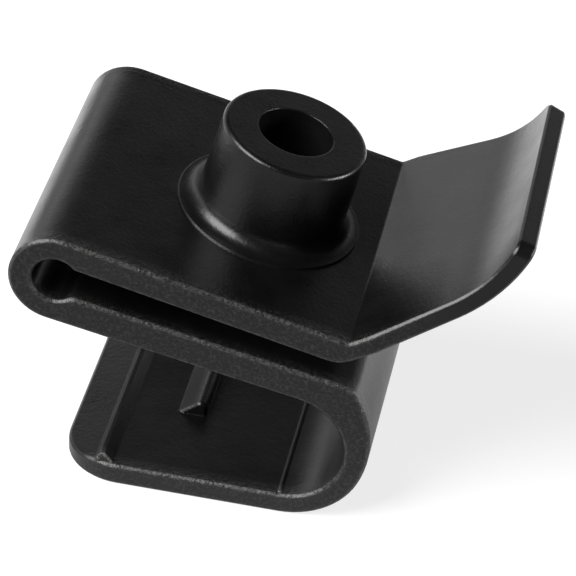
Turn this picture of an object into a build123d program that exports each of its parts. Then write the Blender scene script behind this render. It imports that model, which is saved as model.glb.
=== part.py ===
from build123d import *
import os
from math import cos, radians, sin, sqrt, tan

# U-clip speed nut, moulded in one piece of nylon. Seen from the side it is one strip folded to an S:
# an upper leg with a screw boss, a tight slot bend, a middle leg, a wide spring loop and a lower leg.
# Millimetres. The clip is drawn in clip axes: X runs along the upper leg from the slot bend to the
# lip, Z stands on the upper leg's upper face, and the screw's axis is X = Y = 0. At the end it is
# laid down on its lower leg.

clip_width = 18.4
edge_chamfer = 0.13

# upper leg, from the slot bend to the lip
upper_thickness = 1.55
crease_x = 6.3

# tight bend round the blind end of the panel slot, with a round relief inside
bend_x = -9.35
bend_radius = 2.55
bend_wall = 1.27
relief_upper_corner = 0.3
relief_lower_corner = 0.6

# middle leg, between the panel slot and the spring loop
middle_rise = 2.0
middle_length = 14.15
middle_thickness = 1.78

# spring loop, and the flatter shoulder on it that leads a panel into the slot
loop_radius = 3.3
loop_wall = 1.2
shoulder_radius = 6.45
shoulder_start = -10.0
shoulder_corner = 1.0

# lower leg, from the loop to its free end; places on it are counted from the free end
lower_rise = 12.5
lower_length = 12.4
lower_thickness = 1.25
end_corner = 3.35
tip_length = 2.1
tip_thickness = 0.85
ridge_crest = (2.35, 2.6)
ridge_end = 3.1
ridge_height = 0.5
ridge_width = 17.9

# locking wedge on the lower leg: a ramp, with its steep face towards the loop
wedge_start = 5.6
wedge_end = 7.18
wedge_height = 1.2
wedge_width = 7.0
wedge_crest_radius = 0.35

# fine witness line across the lower leg, where the loop's curve starts
line_width = 0.2
line_height = 0.02

# lip, a lead-in that leaves the upper leg at a crease and curls up towards its tip
lip_rise = 44.0
lip_thickness = 1.05
lip_straight = 5.7
lip_curl_radius = 7.5
lip_curl = 37.0
lip_crease_radius = 0.25
lip_heel_radius = 1.6
lip_taper = 11.0
lip_taper_start = 1.1
lip_corner = 0.8

# screw boss on its low disc, and the holes on the screw's axis
boss_height = 5.35
boss_radius = 4.0
boss_draft = 1.0
boss_fillet = 0.9
boss_rim = 0.25
disc_radius = 5.1
disc_height = 0.12
bore_radius = 2.1
clearance_radius = 2.75


def along(angle):
    """Unit vector in the section that rises to the right by this many degrees."""
    return Vector(cos(radians(angle)), sin(radians(angle)))


def across(angle):
    """Unit vector in the section, square to along(angle) and on its upper side."""
    return along(angle + 90)


def angle_of(direction):
    """Direction of a vector of the section, in degrees."""
    return along(0).get_signed_angle(direction, Vector(0, 0, 1))


def arc(centre, radius, first, last):
    """Arc about a centre, between two directions given in degrees."""
    angles = (first, (first + last) / 2, last)
    return ThreePointArc(*(centre + along(angle) * radius for angle in angles))


def far_crossing(centre, radius, start, direction):
    """The further of the two points where a line from start crosses a circle."""
    to_start = start - centre
    half = to_start.dot(direction)
    reach = sqrt(half**2 - to_start.dot(to_start) + radius**2) - half
    return start + direction * reach


# Main points of the section, each from the one before. The section's Y stands for the clip's Z.
bend_centre = Vector(bend_x, -bend_radius)
middle_start = bend_centre - across(middle_rise) * bend_radius
middle_end = middle_start + along(middle_rise) * middle_length
loop_centre = middle_end - across(middle_rise) * loop_radius
loop_outer_radius = loop_radius + loop_wall
lower_end = loop_centre - across(lower_rise) * loop_outer_radius
free_end = lower_end - along(lower_rise) * lower_length
crease = Vector(crease_x, 0)
foot_height = free_end.Y - free_end.X * tan(radians(lower_rise))


def on_lower_leg(distance, height):
    """Point of the section at a distance from the free end and a height over the underside."""
    return free_end + along(lower_rise) * distance + across(lower_rise) * height


def lower_leg_outline():
    """From the loop's inside to the thin tip at the free end, and back underneath."""
    return Polyline(
        loop_centre - across(lower_rise) * loop_radius,
        on_lower_leg(tip_length, lower_thickness),
        on_lower_leg(0, tip_thickness),
        free_end,
        lower_end,
    )


def section():
    """Side outline of the whole strip, as one face."""
    middle_top = middle_start + across(middle_rise) * middle_thickness
    relief_radius = bend_radius - bend_wall
    relief_low = far_crossing(bend_centre, relief_radius, middle_top, along(middle_rise))
    upper_underside = Vector(bend_x, -upper_thickness)
    relief_high = far_crossing(bend_centre, relief_radius, upper_underside, along(0))
    relief_first = 360 + angle_of(relief_low - bend_centre)
    relief_last = angle_of(relief_high - bend_centre)

    shoulder_centre = loop_centre + along(shoulder_start) * (loop_outer_radius - shoulder_radius)
    shoulder_top = far_crossing(shoulder_centre, shoulder_radius, middle_top, along(middle_rise))
    shoulder_last = angle_of(shoulder_top - shoulder_centre)

    heel_rise = lip_thickness / cos(radians(lip_rise)) - upper_thickness
    heel = Vector(crease_x + heel_rise / tan(radians(lip_rise)), -upper_thickness)
    curl_centre = crease + along(lip_rise) * lip_straight + across(lip_rise) * lip_curl_radius
    curl_first = lip_rise - 90
    curl_last = curl_first + lip_curl
    curl_outside = arc(curl_centre, lip_curl_radius + lip_thickness, curl_first, curl_last)
    curl_inside = arc(curl_centre, lip_curl_radius, curl_last, curl_first)

    outline = Curve() + [
        Line(crease, (bend_x, 0)),
        arc(bend_centre, bend_radius, 90, 270 + middle_rise),
        Line(middle_start, middle_end),
        arc(loop_centre, loop_radius, 90 + middle_rise, lower_rise - 90),
        lower_leg_outline(),
        arc(loop_centre, loop_outer_radius, lower_rise - 90, shoulder_start),
        arc(shoulder_centre, shoulder_radius, shoulder_start, shoulder_last),
        Line(shoulder_top, relief_low),
        arc(bend_centre, relief_radius, relief_first, relief_last),
        Line(relief_high, heel),
        Line(heel, curl_outside @ 0),
        curl_outside,
        Line(curl_outside @ 1, curl_inside @ 0),
        curl_inside,
        Line(curl_inside @ 1, crease),
    ]
    face = make_face(outline)
    rounded = [
        (relief_high, relief_upper_corner),
        (relief_low, relief_lower_corner),
        (shoulder_top, shoulder_corner),
        (crease, lip_crease_radius),
        (heel, lip_heel_radius),
    ]
    for corner, radius in rounded:
        face = fillet(face.vertices().sort_by_distance(corner)[0], radius)
    return face


def in_space(point):
    """Point of the section as a point of the clip, halfway across its width."""
    return Vector(point.X, 0, point.Y)


def standing(point, direction):
    """Plane square to the section through one of its points, with X along a direction in degrees."""
    tangent = along(direction)
    upright = across(direction)
    return Plane(in_space(point), x_dir=in_space(tangent), z_dir=in_space(upright))


def end_corner_waste():
    """What the two rounded corners of the lower leg's free end leave out."""
    reach = 2 * end_corner
    blank = Pos(reach, 0) * RectangleRounded(2 * reach, clip_width, end_corner)
    square = Rectangle(reach, clip_width + 2)
    waste = square - blank - Rectangle(reach, clip_width - 2 * end_corner)
    return standing(free_end, lower_rise) * extrude(waste, 2, both=True)


def lip_side_waste():
    """What the lip's narrowing towards its tip leaves out, on both sides."""
    reach = 12
    narrowing = tan(radians(lip_taper)) * reach
    half = clip_width / 2
    one_side = make_face(
        Polyline(
            (lip_taper_start, half),
            (lip_taper_start + reach, half - narrowing),
            (lip_taper_start + reach, half + 1),
            (lip_taper_start, half + 1),
            close=True,
        )
    )
    waste = extrude(one_side + mirror(one_side, Plane.XZ), 3, both=True)
    return standing(crease, lip_rise) * waste


def boss():
    """Screw boss, turned about the screw's axis, rooted in the upper leg."""
    base_radius = boss_radius + (boss_height - disc_height) * tan(radians(boss_draft))
    root = -upper_thickness / 2
    profile = Polyline(
        (0, root),
        (disc_radius, root),
        (disc_radius, disc_height),
        (base_radius, disc_height),
        (boss_radius, boss_height),
        (0, boss_height),
        close=True,
    )
    face = make_face(profile)
    for corner, radius in [
        ((base_radius, disc_height), boss_fillet),
        ((boss_radius, boss_height), boss_rim),
    ]:
        face = fillet(face.vertices().sort_by_distance(corner)[0], radius)
    return revolve(Plane.XZ * face, Axis.Z)


def raised_on_lower_leg(profile, width):
    """Prism across the lower leg, from an outline of distances and heights over its inner face."""
    root = -lower_thickness / 2
    outline = [(profile[0][0], root), *profile, (profile[-1][0], root)]
    points = [on_lower_leg(distance, lower_thickness + height) for distance, height in outline]
    return extrude(Plane.XZ * make_face(Polyline(*points, close=True)), width / 2, both=True)


def ridge():
    """Ridge across the lower leg, steep towards the free end."""
    foot = (tip_length, 0)
    crest = [(distance, ridge_height) for distance in ridge_crest]
    return raised_on_lower_leg([foot, *crest, (ridge_end, 0)], ridge_width)


def witness_line():
    """Fine raised line across the lower leg, where the loop's curve starts."""
    foot = lower_length - line_width / 2
    crest = [(lower_length, line_height), (lower_length + line_width / 2, 0)]
    return raised_on_lower_leg([(foot, 0), *crest], ridge_width)


def wedge():
    """Locking wedge, with its crest rounded and the edges of both sides broken."""
    block = raised_on_lower_leg([(wedge_start, 0), (wedge_end, wedge_height)], wedge_width)
    block = fillet(block.edges().filter_by(Axis.Y).sort_by(Axis.Z)[-1], wedge_crest_radius)
    sides = block.faces().sort_by(Axis.Y)
    return chamfer(sides[0].edges() + sides[-1].edges(), edge_chamfer)


def hole(radius, bottom, top):
    """Round cutter on the screw's axis between two heights."""
    return Pos(0, 0, bottom) * extrude(Circle(radius), top - bottom)


def break_edges(strip):
    """Round the corners of the lip's tip, then chamfer the edges all round both faces of the strip."""
    lip_tip = strip.faces().sort_by(Axis.X)[-1]
    strip = fillet(lip_tip.edges().sort_by(SortBy.LENGTH)[:2], lip_corner)
    lip_tip = strip.faces().sort_by(Axis.X)[-1]
    leg_tip = strip.faces().sort_by_distance(in_space(on_lower_leg(0, tip_thickness / 2)))[0]
    sides = strip.faces().filter_by(lambda face: abs(face.normal_at().Y) > 0.4)
    rim = [edge for face in [lip_tip, leg_tip, *sides] for edge in face.edges()]
    return chamfer([edge for edge in rim if rim.count(edge) == 1], edge_chamfer)


slot_height = -upper_thickness - 0.5
loop_height = slot_height - 2 * middle_thickness

strip = extrude(Plane.XZ * section(), clip_width / 2, both=True)
strip = break_edges(strip - end_corner_waste() - lip_side_waste())
clip = strip + boss() + ridge() + witness_line() + wedge()
clip -= hole(bore_radius, slot_height, boss_height + 1)
clip -= hole(clearance_radius, loop_height, slot_height)

# Laid on the lower leg: Z = 0 is the leg's underside, with the origin where the screw's axis meets it.
clip_nut = Rot(0, lower_rise, 0) * (Pos(0, 0, -foot_height) * clip)

os.makedirs("parts", exist_ok=True)
export_step(clip_nut, "parts/clip_nut.step")
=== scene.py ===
import math

import bpy
from mathutils import Matrix, Vector


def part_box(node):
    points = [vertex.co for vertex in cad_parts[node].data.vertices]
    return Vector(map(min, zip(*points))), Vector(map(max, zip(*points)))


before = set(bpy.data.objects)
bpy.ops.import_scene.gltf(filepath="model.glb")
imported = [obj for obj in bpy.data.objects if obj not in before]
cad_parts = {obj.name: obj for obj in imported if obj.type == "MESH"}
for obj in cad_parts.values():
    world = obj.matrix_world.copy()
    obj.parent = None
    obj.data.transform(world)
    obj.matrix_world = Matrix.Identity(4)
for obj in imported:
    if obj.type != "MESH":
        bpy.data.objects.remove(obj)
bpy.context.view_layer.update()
scene = bpy.context.scene

scene.view_settings.view_transform = "Standard"

MM = 0.001

# linear colours of the nylon
DEEP_BLACK = (0.0027, 0.0027, 0.0028)
SOFT_BLACK = (0.0047, 0.0046, 0.0045)
# pale grey of the worn edges, also used for the painted glint specks
WEAR_AND_GLINT_GREY = (0.240, 0.237, 0.233)

# the studio, in metres
STUDIO_RADIUS = 1.0
STUDIO_HEIGHT = 0.62
STUDIO_COVE = 0.10
FLOOR_GAP = 0.02 * MM
LAMP_DISTANCE = 0.55

FLOOR_SHADE = 0.36
AMBIENT_LEVEL = 0.015


# ---------------------------------------------------------------- node helpers

def new_material(name):
    """Empty node material with a Principled shader, its output and its node tree."""
    material = bpy.data.materials.new(name)
    material.use_nodes = True
    tree = material.node_tree
    tree.nodes.clear()
    output = tree.nodes.new("ShaderNodeOutputMaterial")
    shader = tree.nodes.new("ShaderNodeBsdfPrincipled")
    tree.links.new(shader.outputs["BSDF"], output.inputs["Surface"])
    return material, tree, shader, output


def noise(tree, coordinates, scale, detail=2.0, roughness=0.5):
    """Noise texture with its scale in waves per metre."""
    node = tree.nodes.new("ShaderNodeTexNoise")
    node.inputs["Scale"].default_value = scale
    node.inputs["Detail"].default_value = detail
    node.inputs["Roughness"].default_value = roughness
    tree.links.new(coordinates, node.inputs["Vector"])
    return node.outputs["Fac"]


def spread(tree, value, low, high, start=0.3, end=0.7):
    """The value carried from start..end to low..high."""
    node = tree.nodes.new("ShaderNodeMapRange")
    node.inputs["From Min"].default_value = start
    node.inputs["From Max"].default_value = end
    node.inputs["To Min"].default_value = low
    node.inputs["To Max"].default_value = high
    tree.links.new(value, node.inputs["Value"])
    return node.outputs["Result"]


def bump(tree, height, distance, strength, normal=None):
    """Bump from a height, over another normal where one is given."""
    node = tree.nodes.new("ShaderNodeBump")
    node.inputs["Strength"].default_value = strength
    node.inputs["Distance"].default_value = distance
    tree.links.new(height, node.inputs["Height"])
    if normal is not None:
        tree.links.new(normal, node.inputs["Normal"])
    return node.outputs["Normal"]


def blend_colours(tree, share, first, second):
    """Colour that goes from first to second with the share; either may be a socket or a colour."""
    node = tree.nodes.new("ShaderNodeMix")
    node.data_type = "RGBA"
    tree.links.new(share, node.inputs["Factor"])
    for end, colour in (("A", first), ("B", second)):
        if isinstance(colour, tuple):
            node.inputs[end].default_value = (*colour, 1)
        else:
            tree.links.new(colour, node.inputs[end])
    return node.outputs["Result"]


def combine(tree, operation, first, second=0):
    """Math node on a socket and, where the operation takes two values, a socket or number."""
    node = tree.nodes.new("ShaderNodeMath")
    node.operation = operation
    tree.links.new(first, node.inputs[0])
    if isinstance(second, (int, float)):
        node.inputs[1].default_value = second
    else:
        tree.links.new(second, node.inputs[1])
    return node.outputs[0]


def axes_of(tree, place):
    """X, Y and Z of a point."""
    node = tree.nodes.new("ShaderNodeSeparateXYZ")
    tree.links.new(place, node.inputs[0])
    return node.outputs


# ---------------------------------------------------------------- moulded nylon

def outer_edges(tree, distance):
    """1 on outside edges and corners, falling to 0 on open faces."""
    node = tree.nodes.new("ShaderNodeAmbientOcclusion")
    node.inside = True
    node.samples = 8
    node.inputs["Distance"].default_value = distance
    return spread(tree, node.outputs["AO"], 0, 1, start=0.90, end=0.55)


def flat_sides(tree, place, half_width):
    """1 on the strip's two flat sides and their edges, 0 further in."""
    off_centre = combine(tree, "ABSOLUTE", axes_of(tree, place)["Y"])
    return spread(tree, off_centre, 0, 1, start=half_width - 0.9 * MM, end=half_width - 0.2 * MM)


def moulded_nylon(half_width):
    """Satin black nylon: sides with a coarse grain and pale specks painted as glints, edges worn pale in
    beads.
    """
    material, tree, shader, _ = new_material("black_nylon")
    place = tree.nodes.new("ShaderNodeTexCoord").outputs["Object"]
    side = flat_sides(tree, place, half_width)

    # colour: soft clouds, then painted glints (pale specks) and worn edges on the flat sides
    clouds = noise(tree, place, scale=260, detail=3, roughness=0.55)
    body = blend_colours(tree, spread(tree, clouds, 0, 1), DEEP_BLACK, SOFT_BLACK)
    beads = noise(tree, place, scale=5600, detail=3, roughness=0.7)
    beads = spread(tree, beads, 0.10, 1.0, start=0.40, end=0.60)
    edge = combine(tree, "MULTIPLY", outer_edges(tree, 0.28 * MM), beads)
    # painted glints: pale specks that stand in for the grain catching the lamps
    glint_specks = noise(tree, place, scale=5200, detail=3, roughness=0.75)
    glint_specks = spread(tree, glint_specks, 0, 0.10, start=0.49, end=0.66)
    wear_and_glints = combine(tree, "MULTIPLY", combine(tree, "MAXIMUM", edge, glint_specks), side)
    tree.links.new(blend_colours(tree, wear_and_glints, body, WEAR_AND_GLINT_GREY), shader.inputs["Base Color"])

    # gloss: uneven, and rougher where worn or painted with glints
    gloss = spread(tree, noise(tree, place, scale=520, detail=4, roughness=0.6), 0.27, 0.34)
    rougher = combine(tree, "MULTIPLY", wear_and_glints, 0.15)
    tree.links.new(combine(tree, "ADD", gloss, rougher), shader.inputs["Roughness"])
    shader.inputs["IOR"].default_value = 1.5

    # surface: softened edges, slow waves, and a grain that is deeper on the flat sides
    soft = tree.nodes.new("ShaderNodeBevel")
    soft.samples = 6
    soft.inputs["Radius"].default_value = 0.12 * MM
    waves = noise(tree, place, scale=900, detail=3, roughness=0.5)
    normal = bump(tree, waves, 0.03 * MM, 0.30, soft.outputs["Normal"])
    depth = spread(tree, side, 0.28, 1.0, start=0.0, end=1.0)
    grain = noise(tree, place, scale=4600, detail=3, roughness=0.65)
    grain = combine(tree, "MULTIPLY", grain, depth)
    normal = bump(tree, grain, 0.05 * MM, 1.0, normal)
    tree.links.new(normal, shader.inputs["Normal"])
    return material


low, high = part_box("clip_nut")
nylon = moulded_nylon(half_width=high.y)
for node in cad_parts.values():
    for slot in node.material_slots:
        slot.material = nylon


# ---------------------------------------------------------------- floor and backdrop

def mirror_glow(tree, place, distance):
    """Brightness of the studio in gloss and clear rays.

    It is bright on a sheet behind the part and on a band low on the wall, brightest to the left and fading
    upwards. The floor between the two is dim, and so is all that lies in front of the part.
    """
    axes = axes_of(tree, place)
    sheet = spread(tree, distance, 1.25, 0.0, start=0.18, end=0.35)
    band = spread(tree, axes["Z"], 0.0, 1.0, start=0.15, end=0.19)
    fade = spread(tree, axes["Z"], 1.0, 0.04, start=0.32, end=0.56)
    leftward = spread(tree, axes["X"], 1.15, 0.40, start=-0.42, end=0.0)
    band = combine(tree, "MULTIPLY", combine(tree, "MULTIPLY", band, fade), leftward)
    behind = spread(tree, axes["Y"], 0.0, 1.0, start=-0.02, end=0.04)
    return combine(tree, "MULTIPLY", combine(tree, "MAXIMUM", sheet, band), behind)


def studio_white(name, shade):
    """Pale matt surface that keeps its shadows, and glows towards the camera and in gloss."""
    material, tree, shader, output = new_material(name)
    place = tree.nodes.new("ShaderNodeTexCoord").outputs["Object"]
    paler = shade + 0.02
    colour = blend_colours(tree, noise(tree, place, scale=20), (shade,) * 3, (paler,) * 3)
    tree.links.new(colour, shader.inputs["Base Color"])
    shader.inputs["Roughness"].default_value = 1.0
    shader.inputs["Specular IOR Level"].default_value = 0.0

    length = tree.nodes.new("ShaderNodeVectorMath")
    length.operation = "LENGTH"
    tree.links.new(place, length.inputs[0])
    distance = length.outputs["Value"]
    to_camera = spread(tree, distance, 0.75, 1.0, start=0.12, end=0.28)

    rays = tree.nodes.new("ShaderNodeLightPath").outputs
    clear = combine(tree, "MAXIMUM", rays["Is Glossy Ray"], rays["Is Transmission Ray"])
    in_gloss = combine(tree, "MULTIPLY", clear, mirror_glow(tree, place, distance))
    in_view = combine(tree, "MULTIPLY", rays["Is Camera Ray"], to_camera)

    glow = tree.nodes.new("ShaderNodeEmission")
    glow.inputs["Color"].default_value = (1, 1, 1, 1)
    tree.links.new(combine(tree, "ADD", in_view, in_gloss), glow.inputs["Strength"])
    both = tree.nodes.new("ShaderNodeAddShader")
    tree.links.new(shader.outputs["BSDF"], both.inputs[0])
    tree.links.new(glow.outputs["Emission"], both.inputs[1])
    tree.links.new(both.outputs["Shader"], output.inputs["Surface"])
    return material


def stage_mesh(name, points, faces, material):
    """Stage piece from points and faces, smooth shaded."""
    mesh = bpy.data.meshes.new(name)
    mesh.from_pydata(points, [], faces)
    mesh.materials.append(material)
    for face in mesh.polygons:
        face.use_smooth = True
    piece = bpy.data.objects.new(name, mesh)
    scene.collection.objects.link(piece)
    return piece


def sweep(radius, height, cove, steps=96, cove_steps=12):
    """Round floor whose rim curves up into a low wall all the way round."""
    outline = []
    for step in range(cove_steps + 1):
        turn = math.pi / 2 * step / cove_steps
        outline.append((radius - cove + cove * math.sin(turn), cove - cove * math.cos(turn)))
    outline.append((radius, height))

    points = [(0.0, 0.0, 0.0)]
    for away, up in outline:
        for step in range(steps):
            turn = 2 * math.pi * step / steps
            points.append((away * math.cos(turn), away * math.sin(turn), up))

    faces = [(0, 1 + step, 1 + (step + 1) % steps) for step in range(steps)]
    for ring in range(len(outline) - 1):
        inner = 1 + ring * steps
        outer = inner + steps
        for step in range(steps):
            after = (step + 1) % steps
            faces.append((inner + step, outer + step, outer + after, inner + after))
    return points, faces


points, faces = sweep(STUDIO_RADIUS, STUDIO_HEIGHT, STUDIO_COVE)
floor = stage_mesh("floor", points, faces, studio_white("studio_floor", FLOOR_SHADE))
# a hair below the foot, so that the two faces don't coincide
floor.location.z = -FLOOR_GAP


# ---------------------------------------------------------------- light

def softbox(name, direction, width, depth, power):
    """Rectangular area lamp in a direction from the part's middle, turned towards it."""
    lamp = bpy.data.lights.new(name, "AREA")
    lamp.shape = "RECTANGLE"
    lamp.size = width
    lamp.size_y = depth
    lamp.energy = power
    piece = bpy.data.objects.new(name, lamp)
    way = Vector(direction).normalized()
    piece.location = (low + high) / 2 + way * LAMP_DISTANCE
    piece.rotation_mode = "QUATERNION"
    piece.rotation_quaternion = way.to_track_quat("Z", "Y")
    scene.collection.objects.link(piece)


softbox("key_left", (-0.590, -0.400, 0.700), width=0.45, depth=0.39, power=5.7)
softbox("right_low", (0.983, 0.052, 0.174), width=0.32, depth=0.11, power=2.4)

world = bpy.data.worlds.new("studio")
scene.world = world
world.use_nodes = True
tree = world.node_tree
tree.nodes.clear()
output = tree.nodes.new("ShaderNodeOutputWorld")
sky = tree.nodes.new("ShaderNodeBackground")
sky.inputs["Color"].default_value = (1, 1, 1, 1)
in_view = tree.nodes.new("ShaderNodeLightPath").outputs["Is Camera Ray"]
tree.links.new(spread(tree, in_view, AMBIENT_LEVEL, 1.0, start=0, end=1), sky.inputs["Strength"])
tree.links.new(sky.outputs["Background"], output.inputs["Surface"])


# ---------------------------------------------------------------- camera

def aim_camera(place, forward, up, focal):
    """Camera looking along forward with its roll set by up; focal is in frame widths."""
    data = bpy.data.cameras.new("camera")
    data.sensor_width = 36
    data.lens = 36 * focal
    data.clip_start = 0.01
    data.clip_end = 10
    camera = bpy.data.objects.new("camera", data)
    forward = Vector(forward).normalized()
    right = forward.cross(Vector(up)).normalized()
    upward = right.cross(forward)
    turn = Matrix((right, upward, -forward)).transposed().to_4x4()
    camera.matrix_world = Matrix.Translation(Vector(place) * MM) @ turn
    scene.collection.objects.link(camera)
    return camera


scene.camera = aim_camera(
    place=(23.26, -138.53, 106.13),
    forward=(-0.11064, 0.81202, -0.57307),
    up=(-0.16273, 0.55403, 0.81645),
    focal=3081 / 576,
)
